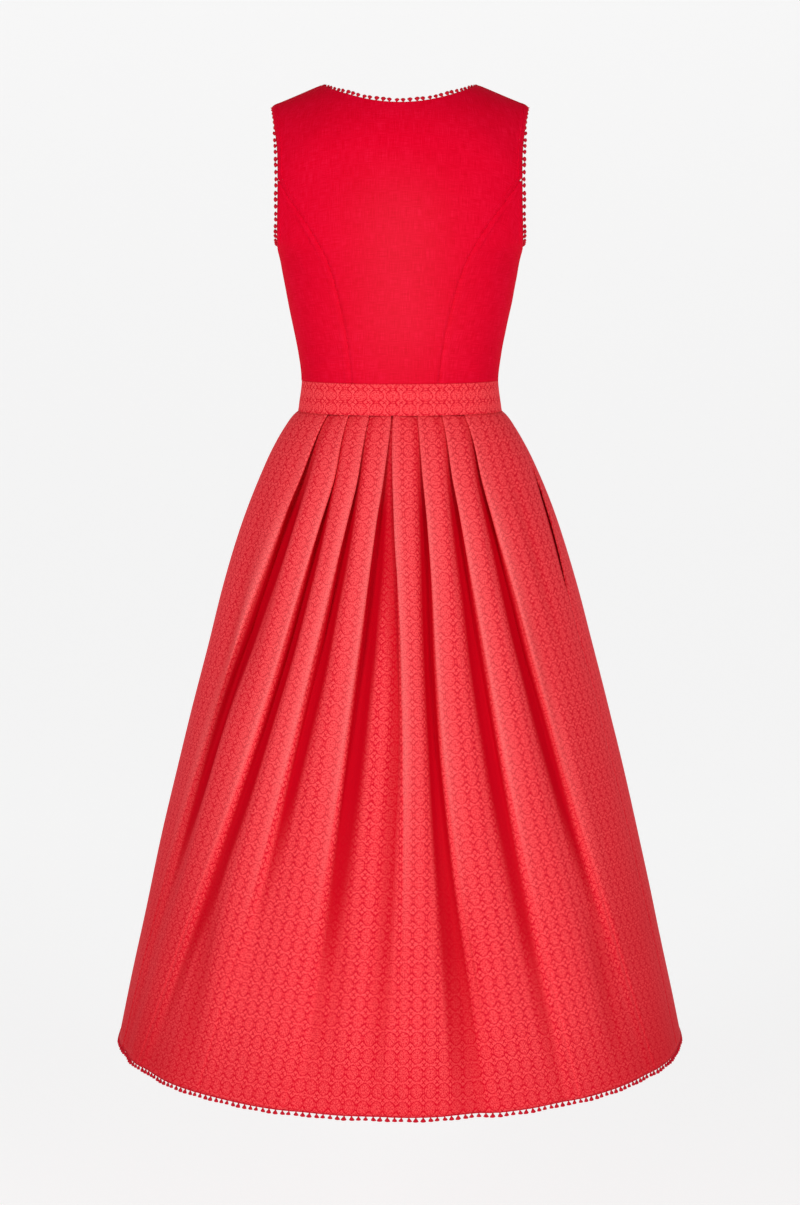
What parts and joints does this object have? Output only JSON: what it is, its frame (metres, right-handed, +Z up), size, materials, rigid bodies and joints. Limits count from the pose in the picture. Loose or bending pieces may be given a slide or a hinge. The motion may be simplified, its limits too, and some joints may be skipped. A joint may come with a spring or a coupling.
{
  "type": "dirndl",
  "caption": "Sleeveless midi dirndl: fitted princess-seam bodice, waistband, pleated skirt with a side pocket and picot edging, worn form, hollow.",
  "frame": {"origin": "midway between the two shoulder seams, at their mean height, where the wearer's shoulders carry the dress", "axes": "+X to the wearer's right, +Y to the wearer's front, +Z up"},
  "size_m": [0.7246, 0.6679, 1.2052],
  "materials": {
    "linen": "matte plain-woven linen, red",
    "jacquard": "cotton jacquard, coral red, soft satin sheen",
    "edging": "cotton picot edging, red",
    "pocketing": "plain cotton pocketing, dark red"
  },
  "bodies": {
    "root": {"bodice_back": "linen", "bodice_front_right": "linen", "bodice_front_left": "linen", "bodice_side_back_right": "linen", "bodice_side_back_left": "linen", "bodice_side_front_right": "linen", "bodice_side_front_left": "linen", "waistband": "jacquard", "skirt_back": "jacquard", "skirt_front": "jacquard", "pocket_bag": "pocketing", "edging_neck": "edging", "edging_armhole_right": "edging", "edging_armhole_left": "edging", "edging_hem": "edging"}
  },
  "joints": []
}
